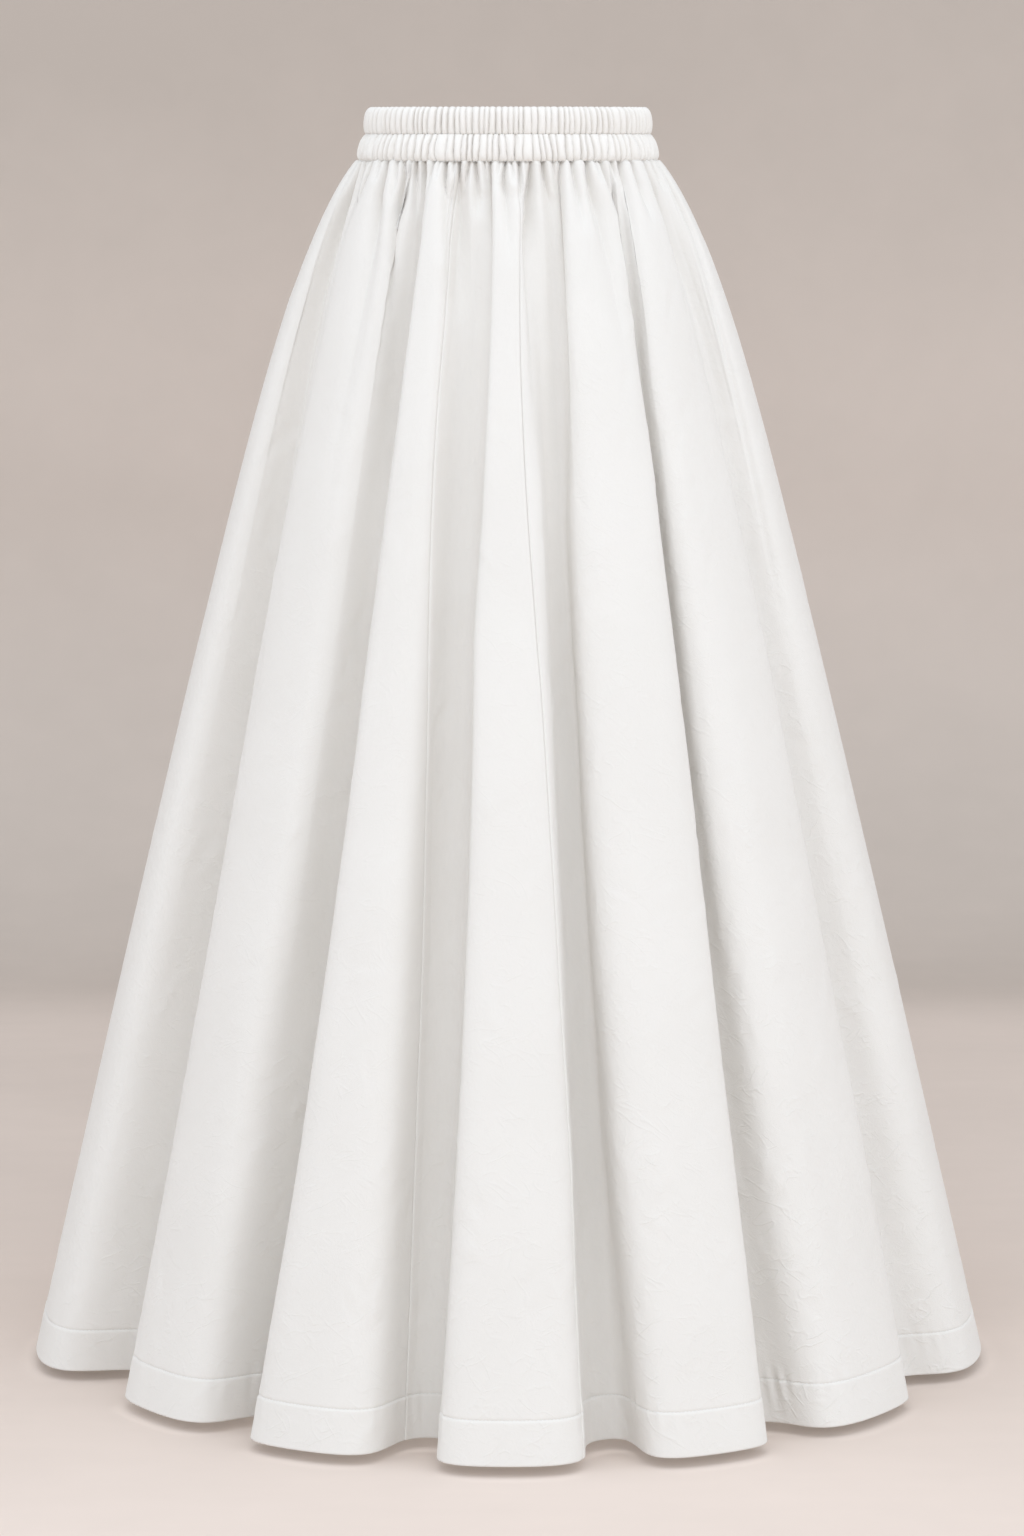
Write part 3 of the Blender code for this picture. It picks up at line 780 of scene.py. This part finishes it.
def makeGore(name, gore, number):
    drops = rowDrops()
    place = gorePlaces(gore, drops)
    drop = np.repeat(drops[:, None], place.shape[1], axis=1)
    points, normal, metric = skirtFrame(place, drop)
    outer = points + normal * clothShape(place, drop, metric)[..., None]
    lower = np.clip((drop - stitchDrop) / (1.0 * mm), 0.0, 1.0)
    thickness = (goreMesh["clothThickness"] + (goreMesh["hemThickness"] - goreMesh["clothThickness"]) * lower) * mm
    inner = outer - normal * thickness[..., None]
    rounding = np.sqrt(np.clip(1.0 - ((skirtDrop - drop) / (goreMesh["edgeRadius"] * mm)) ** 2, 0.0, 1.0))
    inset = normal * (goreMesh["surfaceInset"] * mm * rounding)[..., None]
    outer, inner = outer - inset, inner + inset
    for side in (outer, inner):                      # a hair's breadth between gores
        for edge, beside in ((0, 1), (-1, -2)):
            step = side[:, beside] - side[:, edge]
            step /= np.linalg.norm(step, axis=-1, keepdims=True)
            side[:, edge] += step * seamLook["clear"]
    rows, columns = drop.shape
    steps = np.linalg.norm(np.diff(points, axis=1), axis=-1)
    across = np.concatenate([np.zeros((rows, 1)), np.cumsum(steps, axis=1)], axis=1)
    across += number * 0.7 - across[:, -1:] / 2.0
    flat = np.stack([across, drop], axis=-1).reshape(-1, 2)
    creased = creasedShare(place, drop).ravel()
    every = np.concatenate([outer.reshape(-1, 3), inner.reshape(-1, 3)])
    flat, creased = np.concatenate([flat, flat]), np.concatenate([creased, creased])
    faces = shellFaces(rows, columns)
    # Inner points that no face uses are left out
    outerFaces = (rows - 1) * (columns - 1)
    used = np.arange(len(every)) < rows * columns
    used[np.concatenate([np.array(face) for face in faces[outerFaces:]])] = True
    renumber = np.cumsum(used) - 1
    faces = [renumber[face].tolist() for face in faces]
    piece = makeMesh(name, every[used], faces, skirtCotton)
    addCloth(piece, flat[used], creased[used])
    return piece, {"outer": outer, "normal": normal, "drops": drops}


gorePieces, goreGrids = {}, {}
for number, (name, gore) in enumerate(gores.items()):
    gorePieces[name], goreGrids[name] = makeGore(name, gore, number)
print("gores made:", sum(len(piece.data.polygons) for piece in gorePieces.values()), "faces")


# Geometry Nodes: a tree with named inputs, run on a piece and turned into a plain mesh

def newNodeTree(name, values):
    made = bpy.data.node_groups.new(name, "GeometryNodeTree")
    made.interface.new_socket(name="Geometry", in_out="INPUT", socket_type="NodeSocketGeometry")
    for label in values:
        made.interface.new_socket(name=label, in_out="INPUT", socket_type="NodeSocketFloat")
    made.interface.new_socket(name="Geometry", in_out="OUTPUT", socket_type="NodeSocketGeometry")
    tree = Tree(made)
    entry = tree.node("NodeGroupInput")
    return tree, entry


def finishTree(tree, geometry, material):
    real = tree.node("GeometryNodeRealizeInstances", {}, {0: geometry})
    coloured = tree.node("GeometryNodeSetMaterial", {}, {0: tree.out(real), "Material": material})
    tree.node("NodeGroupOutput", {}, {0: tree.out(coloured)})


def runTree(base, tree, values, name):
    modifier = base.modifiers.new("made", "NODES")
    modifier.node_group = tree.made
    for item in tree.made.interface.items_tree:
        if item.in_out == "INPUT" and item.name in values:
            modifier[item.identifier] = float(values[item.name])
    ready = base.evaluated_get(bpy.context.evaluated_depsgraph_get())
    mesh = bpy.data.meshes.new_from_object(ready)
    base.modifiers.clear()
    bpy.data.objects.remove(base, do_unlink=True)
    mesh.name = name
    return putInScene(name, mesh)


# The two elastic channels: a plain oval tube of cloth, ribbed by the nodes

# Faces: height and outward offset from the waist's oval, up the outer face and down the inner one
upperChannel = {
    "node": "waistband_upper_channel",
    "outerFace": [(0.72, 0.2), (1.3, 0.7), (2.4, 1.2), (4.6, 1.6), (7.5, 1.8), (11.0, 1.7), (15.0, 1.2),
                  (18.2, 0.3), (20.4, -0.9), (21.9, -2.4), (22.7, -4.0)],
    "innerFace": [(22.3, -5.1), (20.5, -5.7), (12.0, -5.6), (3.0, -5.2), (0.72, -4.4)],
    "nodes": {"Ribs": 114, "Side Spacing": 0.026, "Rib Depth": 5.0 * mm, "Rib Sharpness": 0.50, "Wander": 0.7,
              "Lean": 0.14, "Pucker": 0.35 * mm, "Scallop": 1.0 * mm, "Smooth Side": 0.15, "Seed": 3},
}
lowerChannel = {
    "node": "waistband_lower_channel",
    "outerFace": [(-20.9, 4.9), (-20.2, 5.9), (-18.6, 6.9), (-16.0, 7.3), (-12.5, 6.9), (-9.0, 6.0), (-5.5, 4.8),
                  (-2.8, 3.3), (-1.0, 2.1), (0.0, 1.2), (0.76, 0.4)],
    "innerFace": [(0.76, -4.4), (-2.5, -3.6), (-9.0, -1.8), (-16.0, -0.3), (-20.9, 0.4)],
    "nodes": {"Ribs": 100, "Side Spacing": 0.024, "Rib Depth": 5.0 * mm, "Rib Sharpness": 0.52, "Wander": 0.7,
              "Lean": 0.34, "Pucker": 0.45 * mm, "Scallop": 0.0, "Smooth Side": 0.15, "Seed": 8},
}
channelMesh = {"columns": 2160, "outerRows": 17}


def ribTree(name, values):
    tree, entry = newNodeTree(name, values)
    given = {label: tree.out(entry, label) for label in values}

    def field(label, kind="FLOAT"):
        made = tree.node("GeometryNodeInputNamedAttribute", {"data_type": kind}, {"Name": label})
        return Wire(tree, next(socket for socket in made.outputs if socket.enabled))

    turn, rise, face, outward = field("turn"), field("rise"), field("face"), field("out", "FLOAT_VECTOR")
    angle = turn * (2.0 * math.pi)
    # A round path through the noise, so that its end meets its start
    sideways, forward = angle.sine(), angle.cosine()
    seed = given["Seed"] * 7.3
    slow = tree.noise(tree.vector(sideways, forward, seed), 6.0, 1.0) - 0.5
    quick = tree.noise(tree.vector(sideways, forward, seed + 20.0), 22.0, 1.0) - 0.5
    leaning = tree.noise(tree.vector(sideways * 7.0, forward * 7.0, rise * 0.8 + seed), 1.6, 1.0) - 0.5
    tilt = tree.noise(tree.vector(sideways, forward, seed + 40.0), 9.0, 1.0) - 0.5
    wander = (slow * 2.8 + quick * 0.6) * given["Wander"]
    wander = wander + (leaning + tilt * (rise - 0.5) * 3.0) * given["Lean"] * 2.0
    # Ribs stand further apart at the sides than in front
    phase = (turn + (angle * 2.0).sine() * given["Side Spacing"]) * given["Ribs"] + wander
    ridge = (phase * math.pi).sine().size() ** given["Rib Sharpness"]
    nearest = (phase + 0.5).floor().wrapped(given["Ribs"])
    chance = tree.node("ShaderNodeTexWhiteNoise", {"noise_dimensions": "1D"}, {"W": nearest + seed})
    strength = tree.out(chance, "Value") * 0.42 + 0.62
    # The right end of the band is drawn out smoother
    plainSide = 1.0 - given["Smooth Side"] * angle.near(math.radians(262.0), math.radians(24.0))
    middle = (rise - 0.5).size() * 2.0
    bare = 1.0 - middle ** 5.0 * 0.45
    ribs = (ridge - 1.0) * strength * given["Rib Depth"] * bare * plainSide
    fine = ((phase * (2.0 * math.pi) + rise * 3.0).sine().size() ** 0.7 - 1.0) * given["Pucker"] * middle ** 2.5
    moved = (ribs + fine * plainSide) * face
    sideStep = tree.node("ShaderNodeVectorMath", {"operation": "SCALE"}, {0: outward, "Scale": moved})
    lowered = (ridge - 1.0) * strength * given["Scallop"] * rise.ramp(0.80, 1.0) * plainSide
    drop = tree.vector(0.0, 0.0, lowered)
    offset = tree.node("ShaderNodeVectorMath", {"operation": "ADD"}, {0: tree.out(sideStep), 1: drop})
    shaped = tree.node("GeometryNodeSetPosition", {},
                       {0: tree.out(entry, "Geometry"), "Offset": tree.out(offset)})
    finishTree(tree, tree.out(shaped), bandCotton)
    return tree


def lengthAlong(rows):
    return np.concatenate([[0.0], np.cumsum(np.linalg.norm(np.diff(rows, axis=0), axis=1))])


def smoothProfile(rows, count):
    rows = np.array(rows)
    length = lengthAlong(rows)
    places = np.linspace(0.0, length[-1], 400)
    fine = np.stack([np.interp(places, length, rows[:, 0]), np.interp(places, length, rows[:, 1])], axis=1)
    pad = 14
    kernel = np.ones(2 * pad + 1) / (2 * pad + 1)
    smooth = np.stack([np.convolve(np.pad(fine[:, i], pad, mode="reflect", reflect_type="odd"), kernel, "valid")
                       for i in (0, 1)], axis=1)
    return smooth[np.linspace(0, len(smooth) - 1, count).round().astype(int)]


def makeChannel(name, channel):
    outerRows = channelMesh["outerRows"]
    section = np.concatenate([smoothProfile(channel["outerFace"], outerRows), np.array(channel["innerFace"])]) * mm
    turn = np.arange(channelMesh["columns"]) / channelMesh["columns"]
    oval, outward = waistOval(turn * 360.0 + 180.0)
    rows, columns = len(section), len(turn)
    plan = oval[None] + outward[None] * section[:, 1][:, None, None]
    height = np.repeat(section[:, 0][:, None], columns, axis=1)
    points = np.concatenate([plan, height[..., None]], axis=-1)
    number = np.arange(rows * columns).reshape(rows, columns)
    above, beyond = np.roll(number, -1, axis=0), np.roll(number, -1, axis=1)
    faces = np.stack([number, beyond, np.roll(above, -1, axis=1), above], axis=-1).reshape(-1, 4).tolist()
    base = makeMesh(name + "Base", points, faces, bandCotton)

    girth = np.linalg.norm(np.roll(points, -1, axis=1) - points, axis=-1).mean(axis=1).mean()
    along = np.repeat((np.arange(columns) * girth)[None], rows, axis=0)
    flat = np.stack([along, np.repeat(lengthAlong(section)[:, None], columns, axis=1)], axis=-1).reshape(-1, 2)
    addCloth(base, flat)
    low, high = section[:, 0].min(), section[:, 0].max()
    face = np.where(np.arange(rows) < outerRows, 1.0, 0.0)
    face[outerRows - 2:outerRows + 1] = 0.9, 0.7, 0.4
    fields = {
        "turn": np.repeat(turn[None], rows, axis=0),
        "rise": (height - low) / (high - low),
        "face": np.repeat(face[:, None], columns, axis=1),
    }
    for label, values in fields.items():
        attribute = base.data.attributes.new(label, "FLOAT", "POINT")
        attribute.data.foreach_set("value", values.astype(np.float32).ravel())
    out = np.zeros((rows, columns, 3), np.float32)
    out[..., :2] = outward[None]
    base.data.attributes.new("out", "FLOAT_VECTOR", "POINT").data.foreach_set("vector", out.ravel())
    piece = runTree(base, ribTree(name + "Ribs", channel["nodes"]), channel["nodes"], name)
    for label in ("turn", "rise", "face", "out"):
        piece.data.attributes.remove(piece.data.attributes[label])
    piece.data.shade_smooth()
    return piece


channels = {"waistbandUpperChannel": upperChannel, "waistbandLowerChannel": lowerChannel}
channelPieces = {name: makeChannel(name, channel) for name, channel in channels.items()}
print("elastic channels made")


# Machine stitches along a path, by Geometry Nodes

stitchLook = {
    "hem": {"Pitch": 3.1 * mm, "Length": 2.2 * mm, "Thickness": 0.42 * mm},
    "band": {"Pitch": 2.5 * mm, "Length": 1.8 * mm, "Thickness": 0.40 * mm},
}
hemStitchLift = 0.10 * mm
# Height, and distance outward from the waist's oval
channelRow = (0.75 * mm, -1.2 * mm)
waistRow = (-20.95 * mm, 5.0 * mm)


def stitchTree(name, values):
    tree, entry = newNodeTree(name, values)
    path = tree.node("GeometryNodeMeshToCurve", {}, {0: tree.out(entry, "Geometry")})
    spaced = tree.node("GeometryNodeResampleCurve", {"mode": "LENGTH"},
                       {0: tree.out(path), "Length": tree.out(entry, "Pitch")})
    tangent = tree.out(tree.node("GeometryNodeInputTangent"))
    turned = tree.node("FunctionNodeAlignRotationToVector", {"axis": "Z"}, {"Vector": tangent})
    grain = tree.node("GeometryNodeMeshUVSphere", {}, {"Segments": 6, "Rings": 4, "Radius": 0.5})
    soft = tree.node("GeometryNodeSetShadeSmooth", {}, {0: tree.out(grain)})
    thick, long = tree.out(entry, "Thickness"), tree.out(entry, "Length")
    laid = tree.node("GeometryNodeInstanceOnPoints", {},
                     {0: tree.out(spaced), "Instance": tree.out(soft), "Rotation": tree.out(turned),
                      "Scale": tree.vector(thick, thick, long)})
    finishTree(tree, tree.out(laid), whiteThread)
    return tree


def makeStitches(name, points, look):
    edges = [(i, (i + 1) % len(points)) for i in range(len(points))]
    mesh = bpy.data.meshes.new(name + "Path")
    mesh.from_pydata(points.tolist(), edges, [])
    base = putInScene(name + "Path", mesh)
    return runTree(base, stitchTree(name + "Nodes", look), look, name)


def hemPath():
    runs = []
    for name in gores:
        grid = goreGrids[name]
        row = int(np.abs(grid["drops"] - stitchDrop).argmin())
        run = grid["outer"][row] + grid["normal"][row] * hemStitchLift
        runs.append(run[:-1])
    return np.concatenate(runs)


def bandPath(height, offset):
    oval, outward = waistOval(np.arange(720) * 0.5)
    plan = oval + outward * offset
    return np.column_stack([plan, np.full(len(plan), height)])


hemStitches = makeStitches("hemStitches", hemPath(), stitchLook["hem"])
channelStitches = makeStitches("channelStitches", bandPath(*channelRow), stitchLook["band"])
waistStitches = makeStitches("waistStitches", bandPath(*waistRow), stitchLook["band"])
print("stitches made")


# Each piece rides on the frame's root body, and the parts it stands in for are hidden

for name, piece in gorePieces.items():
    gore = gores[name]
    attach(piece, "root")
    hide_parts(gore["node"])
for name, piece in channelPieces.items():
    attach(piece, "root")
    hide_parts(channels[name]["node"])
for piece, slot in ((hemStitches, "skirt_cotton"), (channelStitches, "waistband_cotton"),
                    (waistStitches, "waistband_cotton")):
    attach(piece, "root")
print("pieces ride on the frame")


# Studio: a seamless floor and wall with painted light and shade (paler floor in front, darker toward the back and
# up the wall), a wide soft light from the front, and the camera

studio = {
    "floorBelowHem": 0.009,
    "wallDistance": 2.2,
    "bendRadius": 0.55,
    "bendSteps": 24,
    "halfWidth": 6.0,
    "front": 6.0,
    "height": 6.0,
    # The paper's two colours are painted light and shade: the wall painted darker, the floor painted paler
    "wallPaintedShadeColour": (0.485, 0.420, 0.368, 1.0),
    "floorPaintedLightColour": (0.850, 0.725, 0.645, 1.0),
    "paintedWallShadeFrom": (1.40, 1.80),      # distance behind the skirt where the paper goes from the floor's painted light to the wall's painted shade
    "paintedFloorFalloff": (-1.2, 1.3),
    "paintedLightBand": (-0.40, 0.36),      # height and width of a band of painted light on the wall
    "worldColour": (0.928, 0.995, 1.08, 1.0),
    "worldStrength": 1.175,
}
lights = {
    "leftLight": {"place": (-3.3, -2.3, 0.5), "aim": (0.0, 0.0, -0.5), "size": 2.6, "power": 10.0},
    "rightLight": {"place": (3.4, -2.6, 0.6), "aim": (0.0, 0.0, -0.5), "size": 2.6, "power": 20.0},
    "frontLight": {"place": (0.6, -5.4, 1.4), "aim": (0.0, 0.0, -0.5), "size": 2.0, "power": 16.0},
    "topLight": {"place": (0.1, -1.6, 3.4), "aim": (0.0, -0.9, -1.0), "size": 3.0, "power": 24.0},
}
lightColour = (0.96, 0.985, 1.02)
# White cotton lets some light through, which brightens the floor inside it
throughCloth = {"place": (0.0, -0.02, -0.78), "aim": (0.0, -0.019, -1.0), "size": 0.28, "power": 0.7}
cameraSpot = {"place": (0.0033, -3.8, 0.0), "pitch": 7.866, "lens": 107.39, "sensor": 36.0, "clipEnd": 60.0}


def makeBackdrop():
    floor = hemLevel - studio["floorBelowHem"]
    wall, bend = studio["wallDistance"], studio["bendRadius"]
    steps = studio["bendSteps"]
    profile = [(-studio["front"], floor), (wall - bend, floor)]
    for step in range(1, steps + 1):
        angle = math.pi / 2.0 * step / steps
        profile.append((wall - bend + bend * math.sin(angle), floor + bend * (1.0 - math.cos(angle))))
    profile.append((wall, studio["height"]))
    points, faces = [], []
    for y, z in profile:
        points += [(-studio["halfWidth"], y, z), (studio["halfWidth"], y, z)]
    for i in range(len(profile) - 1):
        faces.append((2 * i, 2 * i + 1, 2 * i + 3, 2 * i + 2))
    material, tree = newMaterial("seamlessPaperPaintedLight")
    place = tree.out(tree.node("ShaderNodeTexCoord"), "Object")
    x, y, z = tree.parts(place)
    # Painted light falloff: floor paler in front and darker toward the back, wall darker; the mottling and strokes
    # below are the paper's own
    onFloor = 1.0 - y.ramp(*studio["paintedWallShadeFrom"])
    paintedLight = onFloor * (0.75 - y.ramp(*studio["paintedFloorFalloff"]) * 0.35)
    # A band of painted light across the wall
    paintedLight = paintedLight + (1.0 - onFloor) * z.near(*studio["paintedLightBand"]) * 0.25
    mottled = (tree.noise(place, 2.0, 4.0, 0.55) - 0.5) * 0.24 + (tree.noise(place, 26.0, 3.0) - 0.5) * 0.05
    strokes = tree.noise(tree.vector(x, y * 4.0, z), 9.0, 3.0)
    mottled = mottled + (strokes - 0.5) * 0.06
    share = (paintedLight + mottled).atLeast(0.0).atMost(1.0)
    tree.surface({
        "Base Color": tree.mixColour(share, studio["wallPaintedShadeColour"], studio["floorPaintedLightColour"]),
        "Roughness": 0.9,
        "Specular IOR Level": 0.1,
    })
    backdrop = makeMesh("backdrop", np.array(points), faces, material)


def makeLight(name, light):
    lamp = bpy.data.lights.new(name, "AREA")
    lamp.shape = "DISK"
    lamp.size = light["size"]
    lamp.energy = light["power"]
    lamp.color = lightColour
    made = putInScene(name, lamp)
    made.location = light["place"]
    aim = [light["aim"][i] - light["place"][i] for i in range(3)]
    flatLength = math.hypot(aim[0], aim[1])
    made.rotation_euler = (math.pi / 2.0 + math.atan2(aim[2], flatLength), 0.0, math.atan2(-aim[0], aim[1]))


makeBackdrop()
for name, light in lights.items():
    makeLight(name, light)
makeLight("throughCloth", throughCloth)
world = bpy.data.worlds.new("studioAir")
world.use_nodes = True
air = world.node_tree.nodes["Background"]
air.inputs["Color"].default_value = studio["worldColour"]
air.inputs["Strength"].default_value = studio["worldStrength"]
bpy.context.scene.world = world
bpy.context.scene.view_settings.view_transform = "Standard"

camera = putInScene("camera", bpy.data.cameras.new("camera"))
camera.data.lens = cameraSpot["lens"]
camera.data.sensor_width = cameraSpot["sensor"]
camera.data.clip_end = cameraSpot["clipEnd"]
camera.location = cameraSpot["place"]
camera.rotation_euler = (math.radians(90.0 - cameraSpot["pitch"]), 0.0, 0.0)
bpy.context.scene.camera = camera
print("studio ready")

bpy.context.view_layer.update()
